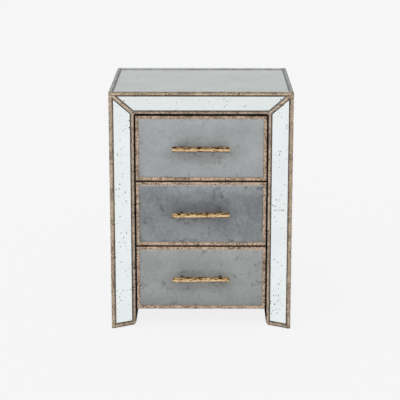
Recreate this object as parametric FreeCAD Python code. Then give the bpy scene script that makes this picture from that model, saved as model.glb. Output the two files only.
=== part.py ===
"""Mirrored nightstand with three drawers.

Millimetres. X runs to the right, Y to the back and Z up, with the origin on the floor under the middle
of the cabinet. The front faces -Y. A bevelled picture frame of mirror goes round the top and both sides
of the front, runs down to the floor as two legs, and leads back to three mirrored drawers.
"""
import FreeCAD, Part
import math
import os

V = FreeCAD.Vector
RIGHT, BACK, UP = V(1, 0, 0), V(0, 1, 0), V(0, 0, 1)
DOWN = V(0, 0, -1)

# Overall size
cabinet_width = 500.0
cabinet_depth = 420.0
cabinet_height = 672.0

# Mirror glass and the trim strips that hold its edges
glass_thickness = 4.0
trim_lip = 3.0
trim_width = 10.0
inner_trim_width = 9.0
trim_round = 2.5
corner_round = 4.0
mitre_trim_width = 9.0
foot_trim_height = 10.0
foot_round = 8.0

# Bevelled front frame: its face width, and how far its outer and inner edges lie behind the front
frame_width = 66.0
frame_setback = 4.0
frame_recess = 36.0
post_depth = 60.0

# Boards of the cabinet
side_thickness = 15.0
cheek_thickness = 12.0
top_thickness = 18.0
bottom_thickness = 12.0
back_thickness = 6.0
rear_post_depth = 38.0
leg_block_height = 28.0

# Foot glides
glide_height = 2.0
glide_diameter = 24.0
glide_peg_diameter = 5.0
glide_peg_length = 12.0

# Back panel screws
screw_diameter = 4.0
screw_head_diameter = 8.0
screw_head_height = 2.5
screw_length = 26.0
screws_per_side = 4
screws_along_top = 3
screw_edge_distance = 60.0

# Drawers
drawer_names = ["top", "middle", "bottom"]
drawer_recess = 38.0
drawer_side_gap = 3.0
drawer_top_gap = 5.5
drawer_gap = 3.0
floor_gap = 46.5
drawer_trim_width = 9.5
front_board_thickness = 15.0
box_side_thickness = 12.0
box_bottom_thickness = 5.0
box_side_height = 130.0
box_lift = 20.0
box_depth = 310.0
box_bottom_lift = 8.0
bottom_board_lift = 1.5

# Handles
handle_length = 158.0
handle_diameter = 13.5
handle_end_round = 2.0
handle_standoff = 25.0
handle_rise = 2.0
post_spacing = 107.0
post_diameter = 8.0
post_socket = 4.0
handle_screw_diameter = 4.0
handle_screw_head_diameter = 8.0
handle_screw_head_height = 2.5
handle_screw_grip = 10.0

# Ball slides between the drawer boxes and the cheeks
slide_thickness = 12.7
slide_height = 35.0
slide_sheet = 1.2
slide_length = 300.0
slide_setback = 2.0
drawer_travel = 225.0
ball_diameter = 4.7
balls_per_row = 5
ball_clearance = 0.3
ball_pocket_clearance = 0.2
cage_sheet = 0.8
cage_clearance = 0.6
cage_end_clearance = 1.0

# Sizes that follow from those above
skin = glass_thickness + trim_lip
left_face = -cabinet_width / 2
front_face = -cabinet_depth / 2
back_face = cabinet_depth / 2
cheek_face = left_face + frame_width
post_back = front_face + post_depth
panel_front = back_face - back_thickness
side_outer = left_face + skin
side_inner = side_outer + side_thickness
cheek_outer = cheek_face - cheek_thickness
leg_middle = (side_inner + cheek_outer) / 2
board_top = cabinet_height - skin
board_bottom = board_top - top_thickness
opening_top = cabinet_height - frame_width
drawer_width = cabinet_width - 2 * (frame_width + drawer_side_gap)
drawer_total = opening_top - drawer_top_gap - floor_gap - (len(drawer_names) - 1) * drawer_gap
drawer_height = drawer_total / len(drawer_names)
drawer_face = front_face + drawer_recess
drawer_glass_face = drawer_face + trim_lip
drawer_board_face = drawer_face + skin
drawer_board_back = drawer_board_face + front_board_thickness
box_width = cabinet_width - 2 * (frame_width + slide_thickness)
bottom_board_under = floor_gap + bottom_board_lift

nodes = {}


def add(name, *shapes):
    """Keep every solid of the shapes under one node name."""
    nodes[name] = [solid for shape in shapes for solid in shape.Solids]


def block(x, y, z):
    """Box from three (low, high) pairs."""
    return Part.makeBox(x[1] - x[0], y[1] - y[0], z[1] - z[0], V(x[0], y[0], z[0]))


def mirrored(shape):
    """The same piece on the other side of the cabinet."""
    return shape.mirror(V(), RIGHT)


def both_sides(shape):
    return [shape, mirrored(shape)]


def outline(corners):
    """Flat face through corners given as (x, y) or, where the corner is rounded, (x, y, radius)."""
    points = [V(corner[0], corner[1], 0) for corner in corners]
    arcs = []
    entries = []
    exits = []
    for i, here in enumerate(points):
        radius = corners[i][2] if len(corners[i]) > 2 else 0
        to_last = (points[i - 1] - here).normalize()
        to_next = (points[(i + 1) % len(points)] - here).normalize()
        half_angle = to_last.getAngle(to_next) / 2
        reach = radius / math.tan(half_angle)
        entries.append(here + to_last * reach)
        exits.append(here + to_next * reach)
        if radius:
            towards_centre = (to_last + to_next).normalize()
            middle = here + towards_centre * (radius / math.sin(half_angle) - radius)
            arcs.append(Part.Arc(entries[i], middle, exits[i]).toShape())
    lines = []
    for i, start in enumerate(exits):
        end = entries[(i + 1) % len(points)]
        lines.append(Part.makeLine(start, end))
    return Part.Face(Part.Wire(Part.__sortEdges__(lines + arcs)))


def bar(corners, length, origin, x_direction, y_direction):
    """Straight bar of one section. Its length runs along the cross product of the section's directions."""
    shape = outline(corners).extrude(V(0, 0, length))
    z_direction = x_direction.cross(y_direction)
    turn = FreeCAD.Rotation(x_direction, y_direction, z_direction, "XYZ")
    shape.Placement = FreeCAD.Placement(origin, turn)
    return shape


def wall(points, y_low, y_high):
    """Upright slab through (x, z) points, seen from the front, between two depths."""
    face = Part.Face(Part.makePolygon([V(x, y_low, z) for x, z in points + points[:1]]))
    return face.extrude(BACK * (y_high - y_low))


# The slope of the front frame, in a section where x goes in from the outer edge and y back from the front
slope_start = V(trim_width, frame_setback, 0)
slope_run = V(frame_width, frame_recess, 0) - slope_start
slope_length = slope_run.Length
slope_along = slope_run / slope_length
slope_away = V(slope_along.y, -slope_along.x, 0)
inner_trim_start = slope_length - inner_trim_width


def on_slope(run, height):
    """Point so far along the glass of the slope, and so far above it."""
    point = slope_start + slope_along * run + slope_away * height
    return (point.x, point.y)


def slope_at_width(across, height):
    return on_slope((across - slope_start.x - slope_away.x * height) / slope_along.x, height)


def slope_at_depth(depth, height):
    return on_slope((depth - slope_start.y - slope_away.y * height) / slope_along.y, height)


core_section = [
    (skin, post_depth),
    (skin, skin),
    slope_at_depth(skin, -glass_thickness),
    slope_at_width(frame_width, -glass_thickness),
    (frame_width, post_depth),
]
glass_section = [
    slope_at_width(trim_width, -glass_thickness),
    slope_at_width(trim_width, 0),
    on_slope(inner_trim_start, 0),
    on_slope(inner_trim_start, -glass_thickness),
]
inner_trim_section = [
    on_slope(inner_trim_start, -glass_thickness),
    on_slope(inner_trim_start, trim_lip) + (trim_round,),
    slope_at_width(frame_width, trim_lip) + (trim_round,),
    slope_at_width(frame_width, -glass_thickness),
]
angle_trim_section = [
    (0, 0, corner_round),
    (trim_width, 0, trim_round),
    (trim_width, skin),
    (skin, skin),
    (skin, trim_width),
    (0, trim_width, trim_round),
]


def strip_section(width):
    """Flat trim strip with its two outer edges rounded."""
    return [(0, 0, trim_round), (width, 0, trim_round), (width, skin), (0, skin)]


def upright(section):
    """Left upright of the front frame, from the glides to the top."""
    start = V(left_face, front_face, glide_height)
    return bar(section, cabinet_height - glide_height, start, RIGHT, BACK)


def crosspiece(section):
    """Top piece of the front frame, over the full width."""
    return bar(section, cabinet_width, V(left_face, front_face, cabinet_height), DOWN, BACK)


def mitre_zone():
    """Everything of the front frame that belongs to its top piece: what lies above both 45 degree mitres."""
    apex = (0, cabinet_height - cabinet_width / 2)
    corners = [(left_face, cabinet_height), apex, (-left_face, cabinet_height)]
    return wall(corners, front_face, post_back)


def framed(section):
    """Left upright, right upright and top piece of one section, mitred together."""
    zone = mitre_zone()
    left = upright(section).cut(zone)
    top = crosspiece(section).common(zone)
    return left, mirrored(left), top


def mitre_strip():
    """Trim strip that covers the left mitre, before its neighbours are cut out of it."""
    valley = V(slope_run.x, slope_run.y, -slope_run.x)
    across_valley = (RIGHT + UP).normalize()
    outward = valley.cross(across_valley).normalize()
    tilt = outward.getAngle(slope_away)
    half = mitre_trim_width / 2
    rise = trim_lip / math.cos(tilt) + half * math.tan(tilt)
    section = [(-half, -skin), (half, -skin), (half, rise, trim_round), (-half, rise, trim_round)]
    start = V(left_face + slope_start.x, front_face + slope_start.y, cabinet_height - slope_start.x)
    return bar(section, valley.Length, start, across_valley, outward)


def foot_strip():
    """Trim strip across the bottom of the left stile, up the slope from the corner trim to the inner trim."""
    start = V(left_face, front_face, glide_height + foot_trim_height) + V(*on_slope(-skin, trim_lip), 0)
    strip = bar(strip_section(foot_trim_height), inner_trim_start + skin, start, DOWN, slope_away * -1)
    beside_corner = block((left_face + trim_width, cheek_face), (front_face, post_back), (0, cabinet_height))
    return strip.common(beside_corner)


def foot_corner():
    """What the rounding takes off the lower inner corner of the left stile."""
    low = glide_height
    corner = block((cheek_face - foot_round, cheek_face), (front_face, post_back), (low, low + foot_round))
    centre = V(cheek_face - foot_round, front_face, low + foot_round)
    return corner.cut(Part.makeCylinder(foot_round, post_depth, centre, BACK))


def foot_glide(x, y):
    """Nylon disc under a leg, with the peg that holds it."""
    disc = Part.makeCylinder(glide_diameter / 2, glide_height, V(x, y, 0))
    peg = Part.makeCylinder(glide_peg_diameter / 2, glide_peg_length, V(x, y, glide_height))
    return disc.fuse(peg)


def back_screw(x, z):
    """Countersunk screw driven in from the back, its head flush with the panel."""
    head = Part.makeCone(
        screw_head_diameter / 2, screw_diameter / 2, screw_head_height, V(x, back_face, z), BACK * -1
    )
    shank_start = V(x, back_face - screw_head_height, z)
    shank = Part.makeCylinder(screw_diameter / 2, screw_length - screw_head_height, shank_start, BACK * -1)
    return head.fuse(shank)


def cut_all(shape, tools):
    for tool in tools:
        shape = shape.cut(tool)
    return shape


def largest_solid(shape):
    """The piece itself, without the slivers that its neighbours' rounded edges leave beside it."""
    return max(shape.Solids, key=lambda solid: solid.Volume)


def make_front_frame(glides):
    """Bevelled posts and rail, their mirrors, and the trims round each mirror."""
    post_left, post_right, rail = framed(core_section)
    foot_corners = both_sides(foot_corner())
    add("front_stile_left", cut_all(post_left, glides + foot_corners))
    add("front_stile_right", cut_all(post_right, glides + foot_corners))
    add("front_top_rail", rail)

    corner_trims = framed(angle_trim_section)
    inner_trims = [cut_all(trim, foot_corners) for trim in framed(inner_trim_section)]
    add("corner_trims", *corner_trims)
    add("inner_trims", *inner_trims)

    foot = foot_strip()
    add("foot_trims", *both_sides(foot))

    whole = block((left_face, -left_face), (front_face, back_face), (0, cabinet_height))
    seats = [post_left, rail, *corner_trims, *inner_trims]
    mitre = largest_solid(cut_all(mitre_strip().common(whole), seats))
    add("mitre_trims", *both_sides(mitre))

    glass_left, glass_right, glass_top = framed(glass_section)
    add("stile_mirror_left", cut_all(glass_left, [mitre, foot]))
    add("stile_mirror_right", cut_all(glass_right, both_sides(mitre) + both_sides(foot)))
    add("rail_mirror", cut_all(glass_top, both_sides(mitre)))


def make_case(glides, screws):
    """Boards behind the glass: sides, cheeks, rear posts, leg blocks, top, bottom and back."""
    depth = (post_back, panel_front)
    height = (glide_height, board_bottom)
    rear_front = panel_front - rear_post_depth

    side = block((side_outer, side_inner), depth, height)
    add("side_panel_left", side)
    add("side_panel_right", mirrored(side))

    cheek = block((cheek_outer, cheek_face), depth, height)
    add("inner_cheek_left", cheek)
    add("inner_cheek_right", mirrored(cheek))

    rear_post = block((side_inner, cheek_outer), (rear_front, panel_front), height)
    add("rear_posts", *[cut_all(post, screws + glides) for post in both_sides(rear_post)])

    leg_height = (glide_height, glide_height + leg_block_height)
    leg_block = block((side_inner, cheek_outer), (post_back, rear_front), leg_height)
    add("leg_blocks", *both_sides(leg_block))

    top = block((side_outer, -side_outer), depth, (board_bottom, board_top))
    add("top_board", cut_all(top, screws))

    bottom_height = (bottom_board_under, bottom_board_under + bottom_thickness)
    bottom_front = drawer_board_back + slide_setback
    add("bottom_board", block((cheek_face, -cheek_face), (bottom_front, panel_front), bottom_height))

    back = block((side_outer, -side_outer), (panel_front, back_face), (bottom_board_under, board_top))
    add("back_panel", cut_all(back, screws))


def make_outer_glass():
    """Top and side mirrors, and the trim strips round them that the front frame doesn't share."""
    glass_front = front_face + trim_width
    glass_back = back_face - trim_width
    glass_left = left_face + trim_width
    strip = strip_section(trim_width)

    top_height = (board_top, board_top + glass_thickness)
    add("top_mirror", block((glass_left, -glass_left), (glass_front, glass_back), top_height))
    side_low = glide_height + trim_width
    side_high = cabinet_height - trim_width
    side = block((left_face + trim_lip, left_face + skin), (glass_front, glass_back), (side_low, side_high))
    add("side_mirror_left", side)
    add("side_mirror_right", mirrored(side))

    edge = bar(angle_trim_section, cabinet_depth - trim_width,
               V(left_face, glass_front, cabinet_height), RIGHT, DOWN)
    rear = bar(strip, -2 * glass_left, V(glass_left, back_face, cabinet_height), BACK * -1, DOWN)
    add("top_trims", *both_sides(edge), rear)

    low = bar(strip, glass_back - glass_front, V(left_face, glass_front, glide_height), UP, RIGHT)
    tall = bar(strip, side_high - glide_height, V(left_face, back_face, glide_height), BACK * -1, RIGHT)
    add("side_trims", *both_sides(low), *both_sides(tall))


def glide_places():
    """Middle of each foot: behind the slope of the front posts, and under the rear posts."""
    slope_depth = slope_at_width(leg_middle - left_face, -glass_thickness)[1]
    front_y = front_face + (slope_depth + post_depth) / 2
    rear_y = panel_front - rear_post_depth / 2
    return [(side * leg_middle, y) for side in (1, -1) for y in (front_y, rear_y)]


def screw_places():
    """Back screws: a row up each rear post and a row along the top board."""
    low = bottom_board_under + screw_edge_distance
    high = board_bottom - screw_edge_distance
    rise = (high - low) / (screws_per_side - 1)
    sides = [(side * leg_middle, low + i * rise) for side in (1, -1) for i in range(screws_per_side)]
    first = leg_middle + screw_edge_distance
    step = -2 * first / (screws_along_top - 1)
    top = [(first + i * step, board_top - top_thickness / 2) for i in range(screws_along_top)]
    return sides + top


def mitred_strips(width, height):
    """Four trim strips round a drawer front, mitred at the corners, front at y = 0, centred in x and z."""
    half_width = width / 2
    half_height = height / 2
    strip = strip_section(drawer_trim_width)
    inner_width = half_width - drawer_trim_width
    inner_height = half_height - drawer_trim_width
    corners = [
        (-half_width, half_height),
        (half_width, half_height),
        (inner_width, inner_height),
        (-inner_width, inner_height),
    ]
    zone = wall(corners, 0, skin)
    top = bar(strip, width, V(-half_width, 0, half_height), DOWN, BACK).common(zone)
    low_zone = zone.mirror(V(), UP)
    left = bar(strip, height, V(-half_width, 0, -half_height), RIGHT, BACK).cut(zone).cut(low_zone)
    return [top, top.mirror(V(), UP), left, mirrored(left)]


def moved(shape, offset):
    shape = shape.copy()
    shape.translate(offset)
    return shape


def make_drawer_front(name, centre_height):
    """Front board, mirror, trims, and the bar handle with its posts and screws."""
    half_width = drawer_width / 2
    low = centre_height - drawer_height / 2
    high = centre_height + drawer_height / 2
    board = block((-half_width, half_width), (drawer_board_face, drawer_board_back), (low, high))
    glass_half = half_width - drawer_trim_width
    glass_height = (low + drawer_trim_width, high - drawer_trim_width)
    glass = block((-glass_half, glass_half), (drawer_glass_face, drawer_board_face), glass_height)

    handle_height = centre_height + handle_rise
    axis_y = drawer_glass_face - handle_standoff
    grip = Part.makeCylinder(
        handle_diameter / 2, handle_length, V(-handle_length / 2, axis_y, handle_height), RIGHT
    )
    rims = [edge for edge in grip.Edges if isinstance(edge.Curve, Part.Circle)]
    grip = grip.makeFillet(handle_end_round, rims)

    posts = []
    screws = []
    for side in (-1, 1):
        x = side * post_spacing / 2
        post_end = axis_y + handle_diameter / 2 - post_socket
        post = Part.makeCylinder(
            post_diameter / 2, drawer_glass_face - post_end, V(x, post_end, handle_height), BACK
        )
        shank_start = drawer_glass_face - handle_screw_grip
        shank = Part.makeCylinder(
            handle_screw_diameter / 2, drawer_board_back - shank_start, V(x, shank_start, handle_height), BACK
        )
        head = Part.makeCylinder(
            handle_screw_head_diameter / 2, handle_screw_head_height, V(x, drawer_board_back, handle_height), BACK
        )
        posts.append(post)
        screws.append(shank.fuse(head))

    trims = mitred_strips(drawer_width, drawer_height)
    add(f"drawer_{name}_front", cut_all(board, screws))
    add(f"drawer_{name}_mirror", cut_all(glass, screws))
    add(f"drawer_{name}_trims", *[moved(trim, V(0, drawer_face, centre_height)) for trim in trims])
    add(f"drawer_{name}_handle_bar", cut_all(grip, posts))
    add(f"drawer_{name}_handle_posts", *[cut_all(post, screws) for post in posts])
    add(f"drawer_{name}_handle_screws", *screws)


def make_drawer_box(name, box_low):
    """Two sides, a back between them, and a bottom between all four."""
    outer = -box_width / 2
    inner = outer + box_side_thickness
    back = drawer_board_back + box_depth
    height = (box_low, box_low + box_side_height)
    side = block((outer, inner), (drawer_board_back, back), height)
    add(f"drawer_{name}_sides", *both_sides(side))
    back_front = back - box_side_thickness
    add(f"drawer_{name}_back", block((inner, -inner), (back_front, back), height))
    bottom_low = box_low + box_bottom_lift
    bottom_height = (bottom_low, bottom_low + box_bottom_thickness)
    add(f"drawer_{name}_bottom", block((inner, -inner), (drawer_board_back, back_front), bottom_height))


def channel(web_outer, web_inner, flange_tip, flange_outer, flange_inner):
    """Section of a sheet channel lying on its side: x from the cheek, y up from the slide's middle."""
    return [
        (web_outer, -flange_outer),
        (flange_tip, -flange_outer),
        (flange_tip, -flange_inner),
        (web_inner, -flange_inner),
        (web_inner, flange_inner),
        (flange_tip, flange_inner),
        (flange_tip, flange_outer),
        (web_outer, flange_outer),
    ]


def make_slides(name, slide_middle):
    """Both slides of one drawer. Returns the cabinet members."""
    outer_half = slide_height / 2
    track_half = outer_half - slide_sheet
    ball_half = track_half - ball_clearance - ball_diameter / 2
    inner_half = ball_half - ball_diameter / 2 - ball_clearance
    cage_web = slide_sheet + cage_clearance
    inner_tip = cage_web + cage_sheet + cage_clearance
    outer_tip = slide_thickness - slide_sheet - cage_clearance

    outer_section = channel(0, slide_sheet, outer_tip, outer_half, track_half)
    inner_section = channel(
        slide_thickness, slide_thickness - slide_sheet, inner_tip, inner_half, inner_half - slide_sheet
    )
    cage_section = channel(
        cage_web, cage_web + cage_sheet, outer_tip, ball_half + cage_sheet / 2, ball_half - cage_sheet / 2
    )

    slide_front = drawer_board_back + slide_setback
    slide_back = slide_front + slide_length
    cage_length = slide_length - drawer_travel - cage_end_clearance
    cage_back = (slide_front + slide_back + cage_length) / 2

    cabinet_member = bar(outer_section, slide_length, V(cheek_face, slide_back, slide_middle), RIGHT, UP)
    drawer_member = bar(inner_section, slide_length, V(cheek_face, slide_back, slide_middle), RIGHT, UP)
    cage = bar(cage_section, cage_length, V(cheek_face, cage_back, slide_middle), RIGHT, UP)

    ball_x = cheek_face + (inner_tip + outer_tip) / 2
    pitch = cage_length / balls_per_row
    balls = []
    pockets = []
    for row in (-1, 1):
        for i in range(balls_per_row):
            place = V(ball_x, cage_back - (i + 0.5) * pitch, slide_middle + row * ball_half)
            balls.append(Part.makeSphere(ball_diameter / 2, place))
            pockets.append(Part.makeSphere(ball_diameter / 2 + ball_pocket_clearance, place))
    cage = cut_all(cage, pockets)

    add(f"drawer_{name}_slide_members", *both_sides(drawer_member))
    add(f"drawer_{name}_ball_cages", *both_sides(cage), *[copy for ball in balls for copy in both_sides(ball)])
    return both_sides(cabinet_member)


def make_drawers():
    """All drawers from the top down, with the cabinet members of their slides."""
    cabinet_members = []
    for i, name in enumerate(drawer_names):
        high = opening_top - drawer_top_gap - i * (drawer_height + drawer_gap)
        low = high - drawer_height
        make_drawer_front(name, (low + high) / 2)
        make_drawer_box(name, low + box_lift)
        cabinet_members += make_slides(name, low + box_lift + box_side_height / 2)
    add("cabinet_slide_members", *cabinet_members)


def make_cabinet():
    glides = [foot_glide(x, y) for x, y in glide_places()]
    screws = [back_screw(x, z) for x, z in screw_places()]
    make_front_frame(glides)
    make_case(glides, screws)
    make_outer_glass()
    add("foot_glides", *glides)
    add("back_panel_screws", *screws)


make_cabinet()
make_drawers()

os.makedirs("parts", exist_ok=True)
for node, solids in nodes.items():
    Part.makeCompound(solids).exportStep(f"parts/{node}.step")
print(len(nodes), "nodes,", sum(len(solids) for solids in nodes.values()), "solids")
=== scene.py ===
# %% [markdown]
# A mirrored nightstand: a bevelled frame of mirror round three drawers of clouded mirror.
# The construction is loaded as a fixed frame, in metres, with X to the right, Y to the back and Z up.
# This lesson dresses it: floor, light and camera first, then a finish for each material, then the pieces
# that need a hand-worked shape, which are the trim strips, the dark lines beside them, the drawer
# glass and the handle bars.

# %% Load the frame
import math

import bpy
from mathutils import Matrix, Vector


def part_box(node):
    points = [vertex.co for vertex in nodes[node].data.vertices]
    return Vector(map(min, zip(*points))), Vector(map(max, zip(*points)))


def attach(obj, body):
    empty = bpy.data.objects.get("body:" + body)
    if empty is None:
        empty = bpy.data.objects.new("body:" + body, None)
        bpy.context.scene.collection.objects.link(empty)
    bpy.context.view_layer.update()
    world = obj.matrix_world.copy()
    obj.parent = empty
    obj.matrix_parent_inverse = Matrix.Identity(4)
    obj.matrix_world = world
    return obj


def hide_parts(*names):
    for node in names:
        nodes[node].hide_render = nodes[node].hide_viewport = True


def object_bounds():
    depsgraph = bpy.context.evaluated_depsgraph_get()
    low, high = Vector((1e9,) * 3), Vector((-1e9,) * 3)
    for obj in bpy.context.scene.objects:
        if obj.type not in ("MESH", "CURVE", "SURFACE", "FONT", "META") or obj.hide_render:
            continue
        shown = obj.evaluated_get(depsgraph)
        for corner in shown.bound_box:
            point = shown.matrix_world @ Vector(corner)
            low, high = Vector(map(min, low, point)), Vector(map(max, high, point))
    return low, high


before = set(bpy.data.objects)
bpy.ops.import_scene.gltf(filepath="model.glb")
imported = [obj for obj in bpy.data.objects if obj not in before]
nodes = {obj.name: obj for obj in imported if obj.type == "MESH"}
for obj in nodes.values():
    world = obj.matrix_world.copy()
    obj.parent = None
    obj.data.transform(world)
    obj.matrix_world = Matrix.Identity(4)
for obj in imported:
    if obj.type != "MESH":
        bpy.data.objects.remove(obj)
cad_box = [list(corner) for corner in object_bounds()]
drawer_names = ["top", "middle", "bottom"]
print("loaded", len(nodes), "nodes, box", cad_box)

# %% [markdown]
# Three small helpers serve every material. Colours are written as sRGB hex, the way a picture editor shows
# them, and turned to linear light, which is what shaders use. A node is added with its settings and with
# each of its inputs, which may be a value or another node's output. A Mix node's sockets go by number:
# 0 is the factor, 2 and 3 are its numbers, 6 and 7 its colours. The scale of a pattern is one over its real
# size, so sizes are written in millimetres.

# %% Colour and node helpers
MM = 0.001


def srgb(hex_code):
    channels = [int(hex_code[i:i + 2], 16) / 255 for i in (1, 3, 5)]
    linear = [c / 12.92 if c <= 0.04045 else ((c + 0.055) / 1.055) ** 2.4 for c in channels]
    return (*linear, 1.0)


def add_node(tree, kind, inputs, stops=(), **settings):
    """Add a node. Stops are the positions and hex colours of a colour ramp."""
    node = tree.nodes.new(kind)
    for name, value in settings.items():
        setattr(node, name, value)
    for socket, value in inputs.items():
        if isinstance(value, bpy.types.NodeSocket):
            tree.links.new(value, node.inputs[socket])
        else:
            node.inputs[socket].default_value = value
    for i, (position, hex_code) in enumerate(stops):
        elements = node.color_ramp.elements
        element = elements[i] if i < len(elements) else elements.new(position)
        element.position = position
        element.color = srgb(hex_code)
    return node.outputs


def new_material(name, **constants):
    """A material with one Principled shader, the constants set on its sockets, and Object coordinates."""
    material = bpy.data.materials.new(name)
    material.use_nodes = True
    tree = material.node_tree
    shader = tree.nodes["Principled BSDF"]
    for socket, value in constants.items():
        shader.inputs[socket.replace("_", " ")].default_value = value
    place = add_node(tree, "ShaderNodeTexCoord", {})["Object"]
    print("material", name)
    return material, tree, shader, place


print("the grey #808080 is", round(srgb("#808080")[0], 3), "in linear light")

# %% [markdown]
# The photograph is a plain catalogue picture on an even, pale ground with no horizon. A bent backdrop could
# give that, but it would stand in the way of views from behind, so there is one large floor instead.
# Cameras and mirrors see it glow nearly white. A small share of its paint is matt and takes the soft shadow,
# and for the light that it throws on the object it is matt all through, so that light stays plain.

# %% Floor
BACKDROP = "#f6f6f6"
FLOOR_SIZE = 60.0
SHADOW_SHARE = 0.08

bpy.ops.object.select_all(action="DESELECT")
bpy.ops.mesh.primitive_plane_add(size=FLOOR_SIZE)
floor = bpy.context.object
floor.name = "floor"
floor_paint = bpy.data.materials.new("pale studio floor")
floor_paint.use_nodes = True
tree = floor_paint.node_tree
tree.nodes.clear()
ray = add_node(tree, "ShaderNodeLightPath", {})
seen = add_node(tree, "ShaderNodeMath", {0: ray["Is Camera Ray"], 1: ray["Is Glossy Ray"]},
                operation="MAXIMUM")
seen = add_node(tree, "ShaderNodeMath", {0: seen[0], 1: ray["Is Transmission Ray"]}, operation="MAXIMUM")
glow_share = add_node(tree, "ShaderNodeMath", {0: seen[0], 1: 1 - SHADOW_SHARE}, operation="MULTIPLY")
matt = add_node(tree, "ShaderNodeBsdfDiffuse", {"Color": srgb(BACKDROP)})
glow = add_node(tree, "ShaderNodeEmission", {"Color": srgb(BACKDROP), "Strength": 1.0})
paint = add_node(tree, "ShaderNodeMixShader", {0: glow_share[0], 1: matt[0], 2: glow[0]})
add_node(tree, "ShaderNodeOutputMaterial", {"Surface": paint[0]})
floor.data.materials.append(floor_paint)
print("floor", FLOOR_SIZE, "m across")

# %% [markdown]
# Mirrors show the room, so the room is part of the look. It could be a picture wrapped round the scene, but
# a ramp over the height of the view is enough: white at the horizon, with a grey wall above it that pales
# upwards, and a greyer ceiling. Only the top mirror looks that way. The front mirrors look down at the floor.

# %% Surroundings
ROOM_TONES = [(0.0, BACKDROP), (0.07, BACKDROP), (0.16, "#d0d2d2"), (0.34, "#dcdede"), (1.0, "#c6c8ca")]

world = bpy.data.worlds.new("studio")
bpy.context.scene.world = world
world.use_nodes = True
tree = world.node_tree
tree.nodes.clear()
direction = add_node(tree, "ShaderNodeTexCoord", {})["Generated"]
height = add_node(tree, "ShaderNodeSeparateXYZ", {0: direction})["Z"]
room = add_node(tree, "ShaderNodeValToRGB", {"Fac": height}, stops=ROOM_TONES)
background = add_node(tree, "ShaderNodeBackground", {"Color": room["Color"], "Strength": 1.0})
add_node(tree, "ShaderNodeOutputWorld", {"Surface": background[0]})
print("world", world.name, "with", len(ROOM_TONES), "tones")

# %% [markdown]
# The light is soft, from the front and above, with a little more from the left. Area lamps would show as
# bright shapes in the mirrors. Suns with a very wide disc are as soft, and they are hidden from mirrors.


# %% Lamps
def soft_sun(name, strength, spread_degrees, towards):
    lamp = bpy.data.lights.new(name, "SUN")
    lamp.energy = strength
    lamp.angle = math.radians(spread_degrees)
    holder = bpy.data.objects.new(name, lamp)
    bpy.context.collection.objects.link(holder)
    holder.rotation_euler = Vector(towards).to_track_quat("-Z", "Y").to_euler()
    holder.visible_glossy = False
    print("lamp", name, strength)


soft_sun("front key", strength=1.15, spread_degrees=70, towards=(0.25, 0.7, -1.0))
soft_sun("left fill", strength=0.35, spread_degrees=90, towards=(0.9, 0.5, -0.6))

# %% [markdown]
# The camera stands a little above the top and looks down at the front. Its place, tilt and lens were fitted
# to the corners of the cabinet. A lens shifted far down would fit them better still, but views from other
# sides keep the shift and would lose the cabinet, so there is none.

# %% Camera
CAMERA_PLACE = (0.0208, -4.0, 1.3322)
CAMERA_PITCH = 14.2
CAMERA_YAW = 0.357
CAMERA_LENS = 128.4
CAMERA_SENSOR = 36
CAMERA_REACH = 200

lens = bpy.data.cameras.new("photo camera")
lens.lens = CAMERA_LENS
lens.sensor_width = CAMERA_SENSOR
lens.clip_end = CAMERA_REACH
camera = bpy.data.objects.new("photo camera", lens)
bpy.context.collection.objects.link(camera)
camera.location = CAMERA_PLACE
camera.rotation_euler = (math.radians(90 - CAMERA_PITCH), 0, math.radians(CAMERA_YAW))
bpy.context.scene.camera = camera
bpy.context.scene.view_settings.view_transform = "Standard"
print("camera at", CAMERA_PLACE)

# %% [markdown]
# The trim strips are wood under gesso, painted champagne and rubbed back so that the dark under-colour shows.
# The eye gets a mottle about 3 mm wide, slower blotches, and black flecks. A painted picture could give that
# on one strip, but noises at real sizes give it on strips of any length. The strips differ a little in tone,
# the front of the top is the coarsest and its rear the plainest, and some edges hold more of the dark glaze,
# so the one recipe is mixed in several colours. The strips on the top are greyed, a painted sheen for the
# grey room that they reflect.

# %% Antiqued trim
MOTTLE_SHARE = 0.74
RUBBED_AT = (0.41, 0.475, 0.54)
FLECK_SHARE = 0.6
FLECK_REACH = 0.42
FLECK_DEPTH = 0.75


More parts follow.
